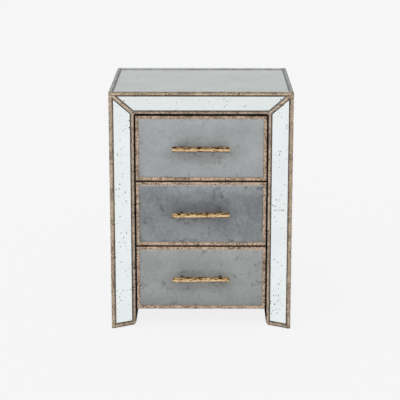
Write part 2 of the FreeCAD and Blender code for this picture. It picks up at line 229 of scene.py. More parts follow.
def antiqued_trim(name, light, middle, dark, grain=3 * MM, fleck_depth=FLECK_DEPTH):
    material, tree, shader, place = new_material(name, Metallic=0.15)
    blotch = add_node(tree, "ShaderNodeTexNoise", {"Vector": place, "Scale": 1 / (22 * MM), "Detail": 4.0})
    mottle = add_node(tree, "ShaderNodeTexNoise", {"Vector": place, "Scale": 1 / grain, "Detail": 2.0,
                                                   "Roughness": 0.6})
    wear = add_node(tree, "ShaderNodeMix", {0: MOTTLE_SHARE, 2: blotch["Fac"], 3: mottle["Fac"]})
    tone = add_node(tree, "ShaderNodeValToRGB", {"Fac": wear[0]}, stops=zip(RUBBED_AT, (dark, middle, light)))
    cells = add_node(tree, "ShaderNodeTexVoronoi", {"Vector": place, "Scale": 1 / (5 * MM)})
    chance = add_node(tree, "ShaderNodeTexWhiteNoise", {"Vector": cells["Color"]})
    reach = add_node(tree, "ShaderNodeMapRange", {"Value": chance["Value"], "From Min": 1 - FLECK_SHARE,
                                                  "From Max": 1.0, "To Min": 0.0, "To Max": FLECK_REACH})
    fleck = add_node(tree, "ShaderNodeMath", {0: reach[0], 1: cells["Distance"]}, operation="SUBTRACT")
    fleck = add_node(tree, "ShaderNodeMapRange", {"Value": fleck[0], "From Max": 0.1, "To Max": fleck_depth})
    colour = add_node(tree, "ShaderNodeMix", {0: fleck[0], 6: tone["Color"], 7: srgb("#2e261f")},
                      data_type="RGBA")
    roughness = add_node(tree, "ShaderNodeMapRange", {"Value": wear[0], "From Min": 0.3, "From Max": 0.7,
                                                      "To Min": 0.65, "To Max": 0.42})
    bump = add_node(tree, "ShaderNodeBump", {"Height": wear[0], "Strength": 0.7, "Distance": 0.9 * MM})
    tree.links.new(colour[2], shader.inputs["Base Color"])
    tree.links.new(roughness[0], shader.inputs["Roughness"])
    tree.links.new(bump[0], shader.inputs["Normal"])
    return material


cabinet_trim = antiqued_trim("champagne paint on gesso, cabinet", "#c6b29a", "#a08d77", "#54483d")
front_trim = antiqued_trim("champagne paint on gesso, front of the top", "#ceb89e", "#97826c", "#463b30",
                           grain=3.5 * MM)
inner_trim = antiqued_trim("champagne paint on gesso, inner strips", "#cdb8a2", "#a4907c", "#4d4137")
mitre_trim = antiqued_trim("champagne paint on gesso, mitre strips", "#d8c6b2", "#b5a28e", "#64574b")
# The top's strips are greyed: a painted sheen for the grey room they reflect.
top_trim = antiqued_trim("grey champagne paint on gesso, top sides", "#b2b1ad", "#9b9a96", "#72716d")
rear_trim = antiqued_trim("champagne paint on gesso, greyed as painted sheen, top rear", "#bcbdbc", "#afb0af", "#9b9c9b",
                          fleck_depth=0.25)
drawer_trim = antiqued_trim("champagne paint on gesso, drawers", "#cdb49d", "#a48b75", "#524136")
# The dark glaze also paints the soles at the floor, as a painted contact shadow.
dark_glaze_and_shadow = antiqued_trim("dark glaze on gesso, strip edges", "#6b6053", "#574d42", "#332c25")
drawer_glaze = antiqued_trim("brown glaze on gesso, drawer edges", "#735c4a", "#5c4636", "#35251a")
edge_glaze = antiqued_trim("thin glaze on gesso, front edge of the top", "#988977", "#807161", "#4c4238")
top_glaze = antiqued_trim("glaze on gesso, greyed as painted sheen, top edges", "#8b8a87", "#757471", "#565552")

# %% [markdown]
# The mirrors are old-style silvered glass. Where the silver has let go there are small dark specks, two or
# three millimetres wide, in loose clusters. A Voronoi pattern gives one possible speck in each cell, and
# a random number per cell and a slow noise decide which of them show. A cell's colour follows from where
# its point lies, so it goes through white noise first, or each face of the cabinet would pick differently.
# The rail and the top are the same silver as the rest, painted a little greyer on the rail and greyer again
# on the top: painted shade for the darker room that they reflect.

# %% Speckled mirror
SPECK_REACH = 0.4
SPECK_LIKELIEST = 0.8


def speckled_mirror(name, silver, speck, speck_share):
    material, tree, shader, place = new_material(name, Metallic=1.0)
    cells = add_node(tree, "ShaderNodeTexVoronoi", {"Vector": place, "Scale": 1 / (5.5 * MM)})
    chance = add_node(tree, "ShaderNodeTexWhiteNoise", {"Vector": cells["Color"]})
    cluster = add_node(tree, "ShaderNodeTexNoise", {"Vector": place, "Scale": 1 / (40 * MM), "Detail": 2.0})
    likely = add_node(tree, "ShaderNodeMix", {0: 0.5, 2: chance["Value"], 3: cluster["Fac"]})
    reach = add_node(tree, "ShaderNodeMapRange", {"Value": likely[0], "From Min": 1 - speck_share,
                                                  "From Max": SPECK_LIKELIEST, "To Min": 0.0,
                                                  "To Max": SPECK_REACH})
    inside = add_node(tree, "ShaderNodeMath", {0: reach[0], 1: cells["Distance"]}, operation="SUBTRACT")
    dot = add_node(tree, "ShaderNodeMapRange", {"Value": inside[0], "From Max": 0.08})
    haze = add_node(tree, "ShaderNodeTexNoise", {"Vector": place, "Scale": 1 / (70 * MM), "Detail": 5.0})
    tone = add_node(tree, "ShaderNodeValToRGB", {"Fac": haze["Fac"]}, stops=zip((0.3, 0.7), silver))
    colour = add_node(tree, "ShaderNodeMix", {0: dot[0], 6: tone["Color"], 7: srgb(speck)}, data_type="RGBA")
    roughness = add_node(tree, "ShaderNodeMapRange", {"Value": dot[0], "To Min": 0.06, "To Max": 0.5})
    tree.links.new(colour[2], shader.inputs["Base Color"])
    tree.links.new(roughness[0], shader.inputs["Roughness"])
    return material


frame_mirror = speckled_mirror("silvered glass, specked", ("#eef4f4", "#f4f9f9"), "#454b52", 0.485)
# The rail and the top are painted greyer silver: painted shade for the darker room they reflect.
rail_mirror = speckled_mirror("silvered glass, rail, painted greyer for shade", ("#e7eded", "#edf1f1"), "#454b52", 0.485)
top_mirror = speckled_mirror("silvered glass, top, painted greyer for shade", ("#d0d4d2", "#dee2e0"), "#707474", 0.39)

# %% [markdown]
# The drawer fronts are mirror glass clouded with age, and the reflection is soft and smoky. The finish is
# built in three layers, each with a helper of its own. The first is the cloud: it drifts between a lighter
# and a darker grey over a hand's width, with smudges about 9 mm wide, and pales towards the top edge.

# %% Clouds in the silver
SMUDGE_SHARE = 0.35


def corners_of(node):
    return [Vector(corner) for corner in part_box(node)]


def middle_of(node):
    low, high = corners_of(node)
    return (low + high) / 2


def smoky_clouds(tree, place, low, high, look):
    """The grey of the glass, and its smudges, which dull it as well."""
    moved = add_node(tree, "ShaderNodeMapping", {"Vector": place, "Location": (0, 0, look["cloud_shift"])})
    cloud = add_node(tree, "ShaderNodeTexNoise", {"Vector": moved[0], "Scale": 1 / (75 * MM), "Detail": 3.0})
    smudge = add_node(tree, "ShaderNodeTexNoise", {"Vector": place, "Scale": 1 / (9 * MM), "Detail": 4.0,
                                                   "Roughness": 0.6})
    drift = add_node(tree, "ShaderNodeMix", {0: SMUDGE_SHARE, 2: cloud["Fac"], 3: smudge["Fac"]})
    tone = add_node(tree, "ShaderNodeValToRGB", {"Fac": drift[0]}, stops=[
        (0.5 - look["patch_edge"], look["dark"]), (0.5 + look["patch_edge"], look["light"])])
    height = add_node(tree, "ShaderNodeSeparateXYZ", {0: place})
    height = add_node(tree, "ShaderNodeMapRange", {"Value": height["Z"], "From Min": low.z,
                                                   "From Max": high.z})
    fade = add_node(tree, "ShaderNodeValToRGB", {"Fac": height[0]}, stops=[
        (0.0, look["foot_shade"]), (0.3, look["body_shade"]), (0.8, look["body_shade"]), (1.0, "#ffffff")])
    tone = add_node(tree, "ShaderNodeMix", {0: 1.0, 6: tone["Color"], 7: fade["Color"]}, data_type="RGBA",
                    blend_type="MULTIPLY")
    return tone[2], smudge["Fac"]


print("the top drawer's glass is centred on", middle_of("drawer_top_mirror"))

# %% [markdown]
# The second layer is a darker place just below the handle. It is partly painted shadow of the bar and partly
# marks where hands have been. A plain ellipse would look drawn on, so its points are first shifted by a
# noise, and its outline is frayed.

# %% Painted shadow and hand marks below the handle
HALO_REACH = (0.115, 0.033)
HALO_DEPTH = 0.32
FRAY = 0.045


def handle_shadow_and_wear(tree, place, height):
    """How strongly a point below the handle is darkened, by painted shadow of the bar and by hand marks."""
    fray = add_node(tree, "ShaderNodeTexNoise", {"Vector": place, "Scale": 1 / (30 * MM), "Detail": 4.0})
    frayed = add_node(tree, "ShaderNodeVectorMath", {0: fray["Color"], 1: (FRAY, FRAY, FRAY), 2: place},
                      operation="MULTIPLY_ADD")
    centred = add_node(tree, "ShaderNodeMapping", {"Vector": frayed[0],
                                                   "Location": (-FRAY / 2, 0, -height - FRAY / 2)})
    spread = add_node(tree, "ShaderNodeVectorMath", {
        0: centred[0], 1: (1 / HALO_REACH[0], 0, 1 / HALO_REACH[1])}, operation="MULTIPLY")
    distance = add_node(tree, "ShaderNodeVectorMath", {0: spread[0]}, operation="LENGTH")
    halo = add_node(tree, "ShaderNodeMapRange", {"Value": distance["Value"], "From Min": 1.3, "From Max": 0.4,
                                                 "To Min": 0.0, "To Max": HALO_DEPTH},
                    interpolation_type="SMOOTHSTEP")
    return halo[0]


print("the handled place is", 2 * HALO_REACH[0], "m wide")

# %% [markdown]
# The third layer is the stains: blots about 20 mm wide and thin veins. They are likelier along the edges,
# where damp got in, and in the darker place below the handle. Each of these adds a little to one number, and
# the glass is stained where the sum is high, so the marks run into one another as real ones do.

# %% Stains
DAMP_REACH = 0.014
DAMP_PULL = 0.09
VEIN_WIDTH = 0.016
VEIN_PULL = 0.07
HALO_PULL = 0.25
STAIN_SOFTNESS = 0.15
STAIN_DEPTH = 0.6


def stain_marks(tree, place, low, high, halo, stain_from):
    """How strongly a point is stained."""
    centred = add_node(tree, "ShaderNodeMapping", {"Vector": place, "Location": -(low + high) / 2})
    centred = add_node(tree, "ShaderNodeVectorMath", {0: centred[0]}, operation="ABSOLUTE")
    from_edge = add_node(tree, "ShaderNodeVectorMath", {0: (high - low) / 2, 1: centred[0]},
                         operation="SUBTRACT")
    from_edge = add_node(tree, "ShaderNodeSeparateXYZ", {0: from_edge[0]})
    from_edge = add_node(tree, "ShaderNodeMath", {0: from_edge["X"], 1: from_edge["Z"]}, operation="MINIMUM")
    damp = add_node(tree, "ShaderNodeMapRange", {"Value": from_edge[0], "From Max": DAMP_REACH,
                                                 "To Min": DAMP_PULL, "To Max": 0.0})
    blots = add_node(tree, "ShaderNodeTexNoise", {"Vector": place, "Scale": 1 / (20 * MM), "Detail": 3.0,
                                                  "Roughness": 0.6})
    veins = add_node(tree, "ShaderNodeTexNoise", {"Vector": place, "Scale": 1 / (38 * MM), "Detail": 3.0,
                                                  "Roughness": 0.6})
    vein = add_node(tree, "ShaderNodeMath", {0: veins["Fac"], 1: 0.5, 2: VEIN_WIDTH}, operation="COMPARE")
    likely = add_node(tree, "ShaderNodeMath", {0: blots["Fac"], 1: damp[0]}, operation="ADD")
    likely = add_node(tree, "ShaderNodeMath", {0: vein[0], 1: VEIN_PULL, 2: likely[0]},
                      operation="MULTIPLY_ADD")
    likely = add_node(tree, "ShaderNodeMath", {0: halo, 1: HALO_PULL, 2: likely[0]}, operation="MULTIPLY_ADD")
    stain = add_node(tree, "ShaderNodeMapRange", {"Value": likely[0], "From Min": stain_from,
                                                  "From Max": stain_from + STAIN_SOFTNESS,
                                                  "To Max": STAIN_DEPTH})
    return stain[0]


print("damp reaches", DAMP_REACH, "m in from the edge")

# %% [markdown]
# Each drawer's glass has aged in its own way, so each has its own look. Light and dark are the cloud's two
# greys, and mark is the colour of its stains and of the painted shadow below the handle. The two shades
# darken its body and its foot. Patch edge is how softly the greys meet, and stain from is the sum at which
# stains begin. Halo drop is how far the darker place of painted shadow and hand marks lies below the handle,
# and cloud shift moves the clouds.

# %% Clouded mirror
drawer_looks = {
    "top": {"light": "#c3c5c6", "dark": "#b8babb", "mark": "#747372", "body_shade": "#f0f0f0",
            "foot_shade": "#ececec", "patch_edge": 0.12, "stain_from": 0.64, "halo_drop": 0.017,
            "cloud_shift": 0.0},
    "middle": {"light": "#b0b3b5", "dark": "#999da1", "mark": "#606266", "body_shade": "#dedede",
               "foot_shade": "#ebebeb", "patch_edge": 0.09, "stain_from": 0.605, "halo_drop": -0.002,
               "cloud_shift": 0.88},
    "bottom": {"light": "#b5b7b6", "dark": "#a9acab", "mark": "#6c6c69", "body_shade": "#f5f5f5",
               "foot_shade": "#dfdfdf", "patch_edge": 0.12, "stain_from": 0.625, "halo_drop": 0.015,
               "cloud_shift": 0.0},
}


def clouded_mirror(drawer, look):
    material, tree, shader, place = new_material(f"clouded mirror, {drawer} drawer", Metallic=0.6)
    low, high = corners_of(f"drawer_{drawer}_mirror")
    handle_height = middle_of(f"drawer_{drawer}_handle_bar").z
    tone, smudge = smoky_clouds(tree, place, low, high, look)
    halo = handle_shadow_and_wear(tree, place, handle_height - look["halo_drop"])
    stain = stain_marks(tree, place, low, high, halo, look["stain_from"])
    mark = srgb(look["mark"])
    # Painted shadow of the bar and hand marks darken the glass below the handle towards the stain colour.
    shadow_and_wear_colour = add_node(tree, "ShaderNodeMix", {0: halo, 6: tone, 7: mark}, data_type="RGBA")
    colour = add_node(tree, "ShaderNodeMix", {0: stain, 6: shadow_and_wear_colour[2], 7: mark}, data_type="RGBA")
    roughness = add_node(tree, "ShaderNodeMapRange", {"Value": smudge, "From Min": 0.3, "From Max": 0.7,
                                                      "To Min": 0.74, "To Max": 0.62})
    tree.links.new(colour[2], shader.inputs["Base Color"])
    tree.links.new(roughness[0], shader.inputs["Roughness"])
    return material


drawer_mirrors = {drawer: clouded_mirror(drawer, drawer_looks[drawer]) for drawer in drawer_names}

# %% [markdown]
# The edge of the drawer glass is ground on a wheel, which leaves it frosted. It gives the eye a thin pale
# line along the top of the glass, with patches about 8 mm wide where the wheel bit more or less.


# %% Ground edge
def ground_edge():
    material, tree, shader, place = new_material("ground edge of mirror glass", Metallic=1.0, Roughness=0.4)
    frost = add_node(tree, "ShaderNodeTexNoise", {"Vector": place, "Scale": 1 / (8 * MM), "Detail": 3.0})
    tone = add_node(tree, "ShaderNodeValToRGB", {"Fac": frost["Fac"]}, stops=[
        (0.35, "#adaca9"), (0.65, "#cac8c4")])
    tree.links.new(tone["Color"], shader.inputs["Base Color"])
    return material


glass_edge = ground_edge()

# %% [markdown]
# Boards inside are fibreboard under matt black lacquer, which gives the eye almost nothing, so the gap
# round a shut drawer reads black. The back is pressed hardboard stained black, with a dull sheen and a fine
# fibre about 3 mm long. Drawer boxes are sealed plywood, and the grain shows. A wave pattern could draw year
# rings, but peeled veneer shows streaks, so it is one noise, stretched twenty times along the board.


# %% Boards and plywood
def black_lacquer():
    material, tree, shader, place = new_material("matt black lacquer on fibreboard", Roughness=0.9,
                                                 Specular_IOR_Level=0.0)
    mottle = add_node(tree, "ShaderNodeTexNoise", {"Vector": place, "Scale": 1 / (25 * MM), "Detail": 4.0})
    tone = add_node(tree, "ShaderNodeValToRGB", {"Fac": mottle["Fac"]}, stops=[
        (0.3, "#0a0908"), (0.7, "#14110e")])
    tree.links.new(tone["Color"], shader.inputs["Base Color"])
    return material


def stained_hardboard():
    material, tree, shader, place = new_material("black stained hardboard")
    fibre = add_node(tree, "ShaderNodeTexNoise", {"Vector": place, "Scale": 1 / (3 * MM), "Detail": 4.0})
    cloud = add_node(tree, "ShaderNodeTexNoise", {"Vector": place, "Scale": 1 / (60 * MM), "Detail": 3.0})
    mixed = add_node(tree, "ShaderNodeMix", {0: 0.5, 2: fibre["Fac"], 3: cloud["Fac"]})
    tone = add_node(tree, "ShaderNodeValToRGB", {"Fac": mixed[0]}, stops=[
        (0.35, "#1f1b18"), (0.65, "#322c27")])
    roughness = add_node(tree, "ShaderNodeMapRange", {"Value": fibre["Fac"], "To Min": 0.5, "To Max": 0.75})
    tree.links.new(tone["Color"], shader.inputs["Base Color"])
    tree.links.new(roughness[0], shader.inputs["Roughness"])
    return material


def plywood(name, grain_stretch):
    material, tree, shader, place = new_material(name, Roughness=0.5)
    along = add_node(tree, "ShaderNodeMapping", {"Vector": place, "Scale": grain_stretch})
    grain = add_node(tree, "ShaderNodeTexNoise", {"Vector": along[0], "Scale": 1 / (5 * MM), "Detail": 6.0,
                                                  "Distortion": 0.4})
    tone = add_node(tree, "ShaderNodeValToRGB", {"Fac": grain["Fac"]}, stops=[
        (0.3, "#86643f"), (0.48, "#ab8459"), (0.56, "#b38d62"), (0.7, "#c6a47a")])
    bump = add_node(tree, "ShaderNodeBump", {"Height": grain["Fac"], "Strength": 0.25, "Distance": 0.3 * MM})
    tree.links.new(tone["Color"], shader.inputs["Base Color"])
    tree.links.new(bump[0], shader.inputs["Normal"])
    return material


lacquer = black_lacquer()
hardboard = stained_hardboard()
deep_grain = plywood("sealed birch plywood, grain front to back", (1.0, 0.05, 1.0))
cross_grain = plywood("sealed birch plywood, grain side to side", (0.05, 1.0, 1.0))

# %% [markdown]
# The slides are drawn steel plated with black zinc, and the screws are bright zinc. Drawing leaves fine lines
# along the metal, far finer than a millimetre, so they are drawn 1.5 mm wide, as coarse as they need to show.
# The glides under the feet are moulded black nylon, dull all over, with a grain of 0.8 mm that is coarser
# than the real one too.


# %% Steel and nylon
def zinc_steel(name, dark, light):
    material, tree, shader, place = new_material(name, Metallic=1.0)
    along = add_node(tree, "ShaderNodeMapping", {"Vector": place, "Scale": (1.0, 0.03, 1.0)})
    drawn = add_node(tree, "ShaderNodeTexNoise", {"Vector": along[0], "Scale": 1 / (1.5 * MM), "Detail": 3.0})
    tone = add_node(tree, "ShaderNodeValToRGB", {"Fac": drawn["Fac"]}, stops=[(0.3, dark), (0.7, light)])
    roughness = add_node(tree, "ShaderNodeMapRange", {"Value": drawn["Fac"], "To Min": 0.25, "To Max": 0.45})
    tree.links.new(tone["Color"], shader.inputs["Base Color"])
    tree.links.new(roughness[0], shader.inputs["Roughness"])
    return material


def black_nylon():
    material, tree, shader, place = new_material("black nylon", Roughness=0.6)
    grain = add_node(tree, "ShaderNodeTexNoise", {"Vector": place, "Scale": 1 / (0.8 * MM)})
    tone = add_node(tree, "ShaderNodeValToRGB", {"Fac": grain["Fac"]}, stops=[
        (0.3, "#121212"), (0.7, "#1e1e1e")])
    tree.links.new(tone["Color"], shader.inputs["Base Color"])
    return material


screw_steel = zinc_steel("bright zinc on steel", "#9a9da0", "#bcbfc2")
slide_steel = zinc_steel("black zinc on steel", "#0e0e0f", "#1d1d1f")
nylon = black_nylon()

# %% [markdown]
# The handles are forged bars, gilded and rubbed. The front, which fingers polish, is pale gold. The facets
# above and below it are brown with dark pits, partly from wear and partly as painted shade for the darker
# room they face, most of all on the top drawer, so the recipe is mixed three times. The pits are drawn out
# along the bar by the forging, so their noise is stretched that way. The posts are dark bronze, which gives
# the eye a dull brown gleam.

# %% Handle metals
PIT_STRETCH = 0.36
PIT_EDGE = 0.035
GILT_EDGE = 0.15


def forged_gilt(name, light, middle, pit, pit_share):
    material, tree, shader, place = new_material(name, Metallic=1.0)
    along = add_node(tree, "ShaderNodeMapping", {"Vector": place, "Scale": (PIT_STRETCH, 1.0, 1.0)})
    dents = add_node(tree, "ShaderNodeTexNoise", {"Vector": along[0], "Scale": 1 / (3.6 * MM), "Detail": 2.0,
                                                  "Roughness": 0.5})
    tone = add_node(tree, "ShaderNodeValToRGB", {"Fac": dents["Fac"]}, stops=[
        (pit_share - PIT_EDGE, pit), (pit_share + PIT_EDGE, middle), (pit_share + GILT_EDGE, light)])
    roughness = add_node(tree, "ShaderNodeMapRange", {"Value": dents["Fac"], "From Min": 0.3, "From Max": 0.7,
                                                      "To Min": 0.55, "To Max": 0.3})
    bump = add_node(tree, "ShaderNodeBump", {"Height": dents["Fac"], "Strength": 0.6, "Distance": 1.0 * MM})
    tree.links.new(tone["Color"], shader.inputs["Base Color"])
    tree.links.new(roughness[0], shader.inputs["Roughness"])
    tree.links.new(bump[0], shader.inputs["Normal"])
    return material


def dark_bronze():
    material, tree, shader, place = new_material("dark bronze", Metallic=0.9, Roughness=0.5)
    tarnish = add_node(tree, "ShaderNodeTexNoise", {"Vector": place, "Scale": 1 / (3 * MM), "Detail": 3.0})
    tone = add_node(tree, "ShaderNodeValToRGB", {"Fac": tarnish["Fac"]}, stops=[
        (0.3, "#231a13"), (0.7, "#473625")])
    tree.links.new(tone["Color"], shader.inputs["Base Color"])
    return material


bright_gilt = forged_gilt("gilt on forged brass, rubbed bright", "#ecd0a6", "#cca778", "#80562b", 0.36)
worn_and_shaded_gilt = forged_gilt("gilt on forged brass, worn brown with painted shade", "#f0cb96", "#b28555", "#52331a", 0.52)
half_worn_and_shaded_gilt = forged_gilt("gilt on forged brass, half worn with painted shade", "#f4d49e", "#c2945c", "#54351a", 0.455)
bronze = dark_bronze()

# %% [markdown]
# Each construction piece gets its finish by what it is. Only its material slots change. Its mesh and place
# belong to the construction and stay as they are.


# %% Dress the construction pieces
def finish_of(node):
    if node.startswith("drawer_"):
        drawer, kind = node.split("_", 2)[1:]
        finishes = {
            "front": lacquer, "mirror": drawer_mirrors[drawer], "trims": drawer_trim,
            "handle_bar": bright_gilt, "handle_posts": bronze, "handle_screws": screw_steel,
            "sides": deep_grain, "back": cross_grain, "bottom": deep_grain,
            "slide_members": slide_steel, "ball_cages": slide_steel,
        }
        return finishes[kind]
    if node == "top_mirror":
        return top_mirror
    if node == "rail_mirror":
        return rail_mirror
    if "mirror" in node:
        return frame_mirror
    if "trims" in node:
        return cabinet_trim
    if node == "back_panel_screws":
        return screw_steel
    if node == "cabinet_slide_members":
        return slide_steel
    if node in ("back_panel", "rear_posts", "leg_blocks"):
        return hardboard
    return nylon if node == "foot_glides" else lacquer


for name, piece in nodes.items():
    for slot in piece.material_slots:
        slot.material = finish_of(name)
print("dressed", len(nodes), "construction pieces")

# %% [markdown]
# The rest is modelling. An operator acts on whatever is selected, so each step starts by making one piece
# the only selected one, and picks faces or edges in code, by a test on their place or direction.


# %% Picking helpers
def take_up(piece):
    bpy.ops.object.select_all(action="DESELECT")
    piece.select_set(True)
    bpy.context.view_layer.objects.active = piece


def pick_faces(piece, wanted):
    """Go to edit mode with just the faces selected that pass a test."""
    bpy.ops.object.mode_set(mode="EDIT")
    bpy.ops.mesh.select_mode(type="FACE")
    bpy.ops.mesh.select_all(action="DESELECT")
    bpy.ops.object.mode_set(mode="OBJECT")
    for face in piece.data.polygons:
        face.select = wanted(face)
    bpy.ops.object.mode_set(mode="EDIT")


def pick_edges(piece, wanted):
    """Go to edit mode with just the edges selected whose two ends pass a test."""
    bpy.ops.object.mode_set(mode="EDIT")
    bpy.ops.mesh.select_mode(type="EDGE")
    bpy.ops.mesh.select_all(action="DESELECT")
    bpy.ops.object.mode_set(mode="OBJECT")
    corners = piece.data.vertices
    for edge in piece.data.edges:
        edge.select = wanted(*(corners[i].co for i in edge.vertices))
    bpy.ops.object.mode_set(mode="EDIT")


print("ready to pick by place and direction")

# %% [markdown]
# Some pieces start from a copy of a construction piece. Its mesh is loose triangles, so they are welded, one
# strip at a time, because strips that only touch must stay apart. Then the flat parts become whole faces
# again. At the end every new piece is shaded, painted and hung on its body, and the construction pieces it
# replaces are hidden.

# %% Copying and finishing helpers
WELD = 0.00001
UNDER_THE_SKIN = 0.5 * MM
FLAT_WITHIN = math.radians(1)
SMOOTH_WITHIN = math.radians(35)


def copy_of(node, name, strip_at):
    """A new piece shaped as a construction piece. Its loose triangles are welded strip by strip."""
    piece = bpy.data.objects.new(name, nodes[node].data.copy())
    bpy.context.collection.objects.link(piece)
    piece.data.materials.clear()
    take_up(piece)
    bpy.ops.mesh.customdata_custom_splitnormals_clear()

    def strip_of(face):
        return strip_at(face.center - face.normal * UNDER_THE_SKIN)

    for strip in sorted({strip_of(face) for face in piece.data.polygons}):
        pick_faces(piece, lambda face: strip_of(face) == strip)
        bpy.ops.mesh.remove_doubles(threshold=WELD)
        bpy.ops.object.mode_set(mode="OBJECT")
    bpy.ops.object.mode_set(mode="EDIT")
    bpy.ops.mesh.select_all(action="SELECT")
    bpy.ops.mesh.dissolve_limited(angle_limit=FLAT_WITHIN)
    bpy.ops.object.mode_set(mode="OBJECT")
    return piece


def finish_piece(piece, body, materials, replaced=()):
    bpy.ops.object.mode_set(mode="OBJECT")
    bpy.ops.object.shade_smooth_by_angle(angle=SMOOTH_WITHIN)
    for material in materials:
        piece.data.materials.append(material)
    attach(piece, body)
    if replaced:
        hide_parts(*replaced)
    print("made", piece.name, len(piece.data.polygons), "faces")


print("points closer than", WELD, "m are welded")

# %% [markdown]
# The cabinet's trim strips could be swept along curves, but the construction already gives them their shape
# and their mitres. So each set is copied, cut across every few millimetres so that it has points along its
# length, and nudged a little at each point, which is how hand-laid gesso looks. First come the helpers that
# cut and nudge, and those that say which strip of a set a point belongs to.

# %% Strip helpers
HALF_WIDTH, HALF_DEPTH, HEIGHT = cad_box[1]
TRIM_WIDTH = 0.010
RING_STEP = 0.009
HAND_WOBBLE = 0.0003


def spaced(low, high):
    count = round((high - low) / RING_STEP)
    return [low + (high - low) * i / count for i in range(1, count)]


def cut_rings(places, direction):
    for place in places:
        bpy.ops.mesh.select_all(action="SELECT")
        bpy.ops.mesh.bisect(plane_co=Vector(direction) * place, plane_no=direction)


def nudge(seed):
    bpy.ops.mesh.select_all(action="SELECT")
    bpy.ops.transform.vertex_random(offset=HAND_WOBBLE, uniform=1.0, normal=0.0, seed=seed)


def side_at(point):
    return "left" if point.x < 0 else "right"


def frame_strip_at(point):
    above_mitre = HEIGHT - point.z < HALF_WIDTH - abs(point.x)
    return "top" if above_mitre else side_at(point)


def top_strip_at(point):
    beside = abs(point.x) > HALF_WIDTH - TRIM_WIDTH
    return side_at(point) if beside else "rear"


def side_strip_at(point):
    return side_at(point) + (" tall" if point.y > HALF_DEPTH - TRIM_WIDTH else " low")


print("a strip as tall as the cabinet has", len(spaced(0, HEIGHT)), "rings")

# %% [markdown]
# Each set has its paints, and a rule says which paint a face gets, by its place or the way it looks. Faces
# take the champagne finish. The dark glaze is on the edges of the inner strips and on the lower edge of the
# front of the top. The soles, a few millimetres high at the floor, take the same dark paint as a painted
# contact shadow.

# %% Paint rules
CONTACT_SHADOW_TOP = 0.005


def corner_paint(face):
    # The sole at the floor is painted dark, a painted contact shadow.
    if face.center.z < CONTACT_SHADOW_TOP:
        return dark_glaze_and_shadow
    if frame_strip_at(face.center) != "top":
        return cabinet_trim
    if face.normal.z < -0.2:
        return dark_glaze_and_shadow
    upper_edge = 0.3 < face.normal.z < 0.95 and face.normal.y < -0.3
    return edge_glaze if upper_edge else front_trim


def inner_paint(face):
    on_edge = abs(face.normal.x) > 0.55 or face.normal.z < -0.55
    return dark_glaze_and_shadow if on_edge else inner_trim


def foot_paint(face):
    # The sole at the floor is painted dark, a painted contact shadow.
    return dark_glaze_and_shadow if face.center.z < CONTACT_SHADOW_TOP else cabinet_trim


def top_paint(face):
    if abs(face.center.x) < HALF_WIDTH - TRIM_WIDTH:
        return rear_trim
    on_edge = 0.1 < abs(face.normal.x) < 0.98
    return top_glaze if on_edge else top_trim


strip_sets = {
    "corner": (frame_strip_at, corner_paint, [cabinet_trim, edge_glaze, dark_glaze_and_shadow, front_trim]),
    "inner": (frame_strip_at, inner_paint, [inner_trim, dark_glaze_and_shadow]),
    "mitre": (side_at, lambda face: mitre_trim, [mitre_trim]),
    "foot": (side_at, foot_paint, [cabinet_trim, dark_glaze_and_shadow]),
    "top": (top_strip_at, top_paint, [top_trim, top_glaze, rear_trim]),
    "side": (side_strip_at, lambda face: cabinet_trim, [cabinet_trim]),
}
print("sets of strips:", *strip_sets)

# %% [markdown]
# Now the six sets are made. Rings keep clear of the ends of a strip and, by more, of the corners where two
# strips meet, so that no ring cuts across a mitre. The short strips have rings over part of their length.

# %% Cabinet trim strips
END_ROOM = 0.02
CORNER_ROOM = 0.07
SHORT_FROM, SHORT_TO = 0.012, 0.05
ACROSS, DEEP, UP = (1, 0, 0), (0, 1, 0), (0, 0, 1)

for seed, (kind, (strip_at, paint_of, paints)) in enumerate(strip_sets.items()):
    strips = copy_of(f"{kind}_trims", f"{kind}_strips", strip_at)
    low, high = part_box(f"{kind}_trims")
    bpy.ops.object.mode_set(mode="EDIT")
    if kind in ("corner", "foot"):
        # A ring at the top of the soles' painted contact shadow.
        cut_rings([CONTACT_SHADOW_TOP], UP)
    bpy.ops.object.mode_set(mode="OBJECT")
    for face in strips.data.polygons:
        face.material_index = paints.index(paint_of(face))
    bpy.ops.object.mode_set(mode="EDIT")
    if kind in ("corner", "inner", "side"):
        cut_rings(spaced(low[2] + END_ROOM, high[2] - CORNER_ROOM), UP)
    if kind in ("corner", "inner", "top"):
        cut_rings(spaced(-HALF_WIDTH + CORNER_ROOM, HALF_WIDTH - CORNER_ROOM), ACROSS)
    if kind in ("top", "side"):
        cut_rings(spaced(-HALF_DEPTH + END_ROOM, HALF_DEPTH - END_ROOM), DEEP)
    if kind in ("mitre", "foot"):
        cut_rings(spaced(low[0] + SHORT_FROM, low[0] + SHORT_TO), ACROSS)
        cut_rings(spaced(high[0] - SHORT_TO, high[0] - SHORT_FROM), ACROSS)
    nudge(seed)
    finish_piece(strips, "cabinet", paints, [f"{kind}_trims"])

# %% [markdown]
# Beside each strip the glass has a thin dark line, the stained lip of the rebate that holds it. It could be
# painted on the glass, but a lip that stands up shows from the side too. It is made from a copy of the
# mirror: the front face alone is kept, inset, emptied in the middle and pulled out. The back of the top has
# no such line. A front mirror slopes, so its facing follows from how far the frame runs in and back.

# %% Dark lines beside the strips
LIP_WIDTH = 0.0026
LIP_HEIGHT = 0.0012
FRAME_RUN = Vector((0.056, 0.032))
SAME_WAY = 0.99

slope = Vector((FRAME_RUN.y, -FRAME_RUN.x)).normalized()


def at_the_back(face):
    return face.center.y > HALF_DEPTH - 2 * TRIM_WIDTH


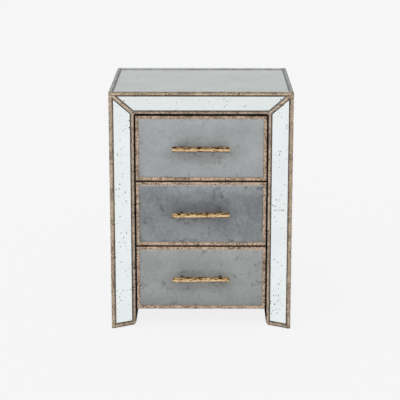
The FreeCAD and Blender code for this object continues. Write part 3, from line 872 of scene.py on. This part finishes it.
def rebate_lip(name, mirror, facing, paint=dark_glaze_and_shadow, left_bare=lambda face: False):
    lip = copy_of(mirror, name, lambda point: "glass")
    pick_faces(lip, lambda face: face.normal.dot(facing) < SAME_WAY)
    bpy.ops.mesh.delete(type="FACE")
    bpy.ops.mesh.select_all(action="SELECT")
    bpy.ops.mesh.dissolve_limited(angle_limit=FLAT_WITHIN)
    bpy.ops.mesh.select_all(action="SELECT")
    bpy.ops.mesh.inset(thickness=LIP_WIDTH, use_boundary=True)
    bpy.ops.mesh.delete(type="FACE")
    bpy.ops.object.mode_set(mode="OBJECT")
    pick_faces(lip, left_bare)
    bpy.ops.mesh.delete(type="FACE")
    bpy.ops.mesh.select_all(action="SELECT")
    bpy.ops.mesh.extrude_region_move(TRANSFORM_OT_translate={"value": facing * LIP_HEIGHT})
    bpy.ops.mesh.select_all(action="SELECT")
    bpy.ops.mesh.normals_make_consistent(inside=False)
    finish_piece(lip, "cabinet", [paint])


rebate_lip("lip_left_stile", "stile_mirror_left", Vector((slope.x, slope.y, 0)))
rebate_lip("lip_right_stile", "stile_mirror_right", Vector((-slope.x, slope.y, 0)))
rebate_lip("lip_rail", "rail_mirror", Vector((0, slope.y, -slope.x)))
rebate_lip("lip_top", "top_mirror", Vector(UP), top_glaze, at_the_back)
rebate_lip("lip_left_side", "side_mirror_left", -Vector(ACROSS))
rebate_lip("lip_right_side", "side_mirror_right", Vector(ACROSS))

# %% [markdown]
# A drawer's four strips are one small picture frame. It could be four bars with cut ends, but one flat plate
# that is inset, emptied and pulled back gives the mitres without any fitting. Its front edges are rounded
# with a bevel. It is modelled once, on the top drawer.

# %% Shape a drawer's frame
DRAWER_TRIM = 0.0095
DRAWER_ROUND = 0.0025

trim_low, trim_high = corners_of("drawer_top_trims")
trim_middle = (trim_low + trim_high) / 2
trim_size = trim_high - trim_low


def along_an_edge(a, b):
    """Whether a line lies in the front plane and runs straight across or straight up."""
    in_front = max(a.y, b.y) < trim_low.y + WELD
    return in_front and min(abs(a.x - b.x), abs(a.z - b.z)) < WELD


bpy.ops.object.select_all(action="DESELECT")
bpy.ops.mesh.primitive_plane_add(size=1, location=(trim_middle.x, trim_low.y, trim_middle.z),
                                 rotation=(math.pi / 2, 0, 0))
drawer_frame = bpy.context.object
drawer_frame.scale = (trim_size.x, trim_size.z, 1)
bpy.ops.object.transform_apply(location=True, rotation=True, scale=True)
bpy.ops.object.mode_set(mode="EDIT")
bpy.ops.mesh.select_all(action="SELECT")
bpy.ops.mesh.inset(thickness=DRAWER_TRIM, use_boundary=True)
bpy.ops.mesh.delete(type="FACE")
bpy.ops.mesh.select_all(action="SELECT")
bpy.ops.mesh.extrude_region_move(TRANSFORM_OT_translate={"value": (0, trim_size.y, 0)})
bpy.ops.mesh.select_all(action="SELECT")
bpy.ops.mesh.normals_make_consistent(inside=False)
bpy.ops.object.mode_set(mode="OBJECT")
pick_edges(drawer_frame, along_an_edge)
bpy.ops.mesh.bevel(offset=DRAWER_ROUND, segments=3, affect="EDGES")
bpy.ops.object.mode_set(mode="OBJECT")
print("a drawer's frame has", len(drawer_frame.data.polygons), "faces before it is cut")

# %% [markdown]
# The outer edges of this frame, which hands never rub, keep the brown glaze. Then it is cut and nudged as
# the other strips were, and copied down to each drawer.

# %% Drawer trim frames
DRAWER_RING_ROOM = 1.2 * DRAWER_TRIM
DRAWER_SEED = 11

drawer_paints = [drawer_trim, drawer_glaze]
for face in drawer_frame.data.polygons:
    from_side = trim_size.x / 2 - abs(face.center.x - trim_middle.x)
    from_end = trim_size.z / 2 - abs(face.center.z - trim_middle.z)
    turned = face.normal.y > -0.9
    on_outer_edge = turned and min(from_side, from_end) < DRAWER_ROUND
    face.material_index = drawer_paints.index(drawer_glaze if on_outer_edge else drawer_trim)
bpy.ops.object.mode_set(mode="EDIT")
ring_reach = trim_size / 2 - Vector((DRAWER_RING_ROOM, 0, DRAWER_RING_ROOM))
cut_rings(spaced(trim_middle.x - ring_reach.x, trim_middle.x + ring_reach.x), ACROSS)
cut_rings(spaced(trim_middle.z - ring_reach.z, trim_middle.z + ring_reach.z), UP)
nudge(DRAWER_SEED)
bpy.ops.object.mode_set(mode="OBJECT")


def drop_of(drawer):
    """How far below the top drawer's place another drawer sits."""
    return middle_of(f"drawer_{drawer}_trims") - middle_of("drawer_top_trims")


def copy_down(model, drawer, name):
    piece = bpy.data.objects.new(name, model.data.copy())
    bpy.context.collection.objects.link(piece)
    take_up(piece)
    bpy.ops.object.mode_set(mode="EDIT")
    bpy.ops.mesh.select_all(action="SELECT")
    bpy.ops.transform.translate(value=drop_of(drawer))
    return piece


for drawer in drawer_names:
    strips = copy_down(drawer_frame, drawer, f"drawer_{drawer}_strips")
    finish_piece(strips, f"drawer_{drawer}", drawer_paints, [f"drawer_{drawer}_trims"])
bpy.data.objects.remove(drawer_frame)

# %% [markdown]
# The drawer glass has a ground edge: a narrow border that falls away from the face. A bevel could cut it,
# but a plain bevel is as deep as it is wide. So a cube at the glass's size is the start, its front is inset,
# and the outer edge of that front is pushed back 0.6 mm. Of the border, the upper side catches the light and
# shows as a line, so that side takes the finish of the ground edge.

# %% Drawer glass
GROUND_WIDTH = 0.003
GROUND_FALL = 0.0006

glass_low, glass_high = corners_of("drawer_top_mirror")
bpy.ops.object.select_all(action="DESELECT")
bpy.ops.mesh.primitive_cube_add(size=1, location=(glass_low + glass_high) / 2)
drawer_glass = bpy.context.object
drawer_glass.scale = glass_high - glass_low
bpy.ops.object.transform_apply(location=True, rotation=True, scale=True)
pick_faces(drawer_glass, lambda face: face.normal.y < -0.9)
bpy.ops.mesh.inset(thickness=GROUND_WIDTH)
bpy.ops.object.mode_set(mode="OBJECT")


def on_the_rim(point):
    from_side = min(point.x - glass_low.x, glass_high.x - point.x)
    from_end = min(point.z - glass_low.z, glass_high.z - point.z)
    return min(from_side, from_end) < WELD and point.y < glass_low.y + WELD


pick_edges(drawer_glass, lambda a, b: on_the_rim(a) and on_the_rim(b))
bpy.ops.transform.translate(value=(0, GROUND_FALL, 0))
bpy.ops.object.mode_set(mode="OBJECT")
for face in drawer_glass.data.polygons:
    on_upper_border = face.normal.y < -0.5 and face.normal.z > 0.1
    face.material_index = 1 if on_upper_border else 0

for drawer in drawer_names:
    glass = copy_down(drawer_glass, drawer, f"drawer_{drawer}_glass")
    finish_piece(glass, f"drawer_{drawer}", [drawer_mirrors[drawer], glass_edge],
                 [f"drawer_{drawer}_mirror"])
bpy.data.objects.remove(drawer_glass)

# %% [markdown]
# A handle bar is forged by hand from eight-sided stock. It could be a round bar with a rough finish, but
# hammered facets break its outline as well. So a cylinder of eight sides, whose flats lie on the
# construction's round bar, has its ends bevelled, is cut into rings, and each point is knocked about by half
# a millimetre. The facets that face level, the front among them, are the polished ones. Those that face up or
# down take the darker gilt, which is partly wear and partly painted shade. The bars were fitted by eye, so
# the lower two lean a little.

# %% Forge a handle bar
BAR_SIDES = 8
BAR_TURN = math.radians(-10)
BAR_BEVEL = 0.0018
BAR_END = 0.004
HAMMER_MARK = 0.0005
HAMMER_SEED = 5

bar_low, bar_high = corners_of("drawer_top_handle_bar")
bar_middle = (bar_low + bar_high) / 2
corner_radius = (bar_high.z - bar_low.z) / 2 / math.cos(math.pi / BAR_SIDES)
bpy.ops.object.select_all(action="DESELECT")
bpy.ops.mesh.primitive_cylinder_add(vertices=BAR_SIDES, radius=corner_radius, depth=bar_high.x - bar_low.x,
                                    location=bar_middle, rotation=(0, math.pi / 2, 0))
forged_bar = bpy.context.object
bpy.ops.object.transform_apply(location=True, rotation=True, scale=True)
bpy.ops.object.mode_set(mode="EDIT")
bpy.ops.transform.rotate(value=math.pi / BAR_SIDES + BAR_TURN, orient_axis="X", center_override=bar_middle)
bpy.ops.object.mode_set(mode="OBJECT")
pick_edges(forged_bar, lambda a, b: abs(a.x - b.x) < WELD)
bpy.ops.mesh.bevel(offset=BAR_BEVEL, segments=2, affect="EDGES")
cut_rings(spaced(bar_low.x + BAR_END, bar_high.x - BAR_END), ACROSS)
bpy.ops.mesh.select_all(action="SELECT")
bpy.ops.transform.vertex_random(offset=HAMMER_MARK, uniform=1.0, normal=0.0, seed=HAMMER_SEED)
bpy.ops.object.mode_set(mode="OBJECT")
for face in forged_bar.data.polygons:
    # Facets facing up or down take the darker gilt: wear, and painted shade for the room they face.
    facing_level = -0.5 < face.normal.z < 0.3
    face.material_index = 0 if facing_level else 1
print("a forged bar has", len(forged_bar.data.polygons), "facets")

# %% Handle bars
BAR_LEAN = {"top": 0.0, "middle": 0.8, "bottom": 0.5}

for drawer in drawer_names:
    # The darker gilt is wear and painted shade together.
    worn = worn_and_shaded_gilt if drawer == "top" else half_worn_and_shaded_gilt
    bar = copy_down(forged_bar, drawer, f"drawer_{drawer}_bar")
    bpy.ops.transform.rotate(value=math.radians(BAR_LEAN[drawer]), orient_axis="Y",
                             center_override=bar_middle + drop_of(drawer))
    finish_piece(bar, f"drawer_{drawer}", [bright_gilt, worn], [f"drawer_{drawer}_handle_bar"])
bpy.data.objects.remove(forged_bar)
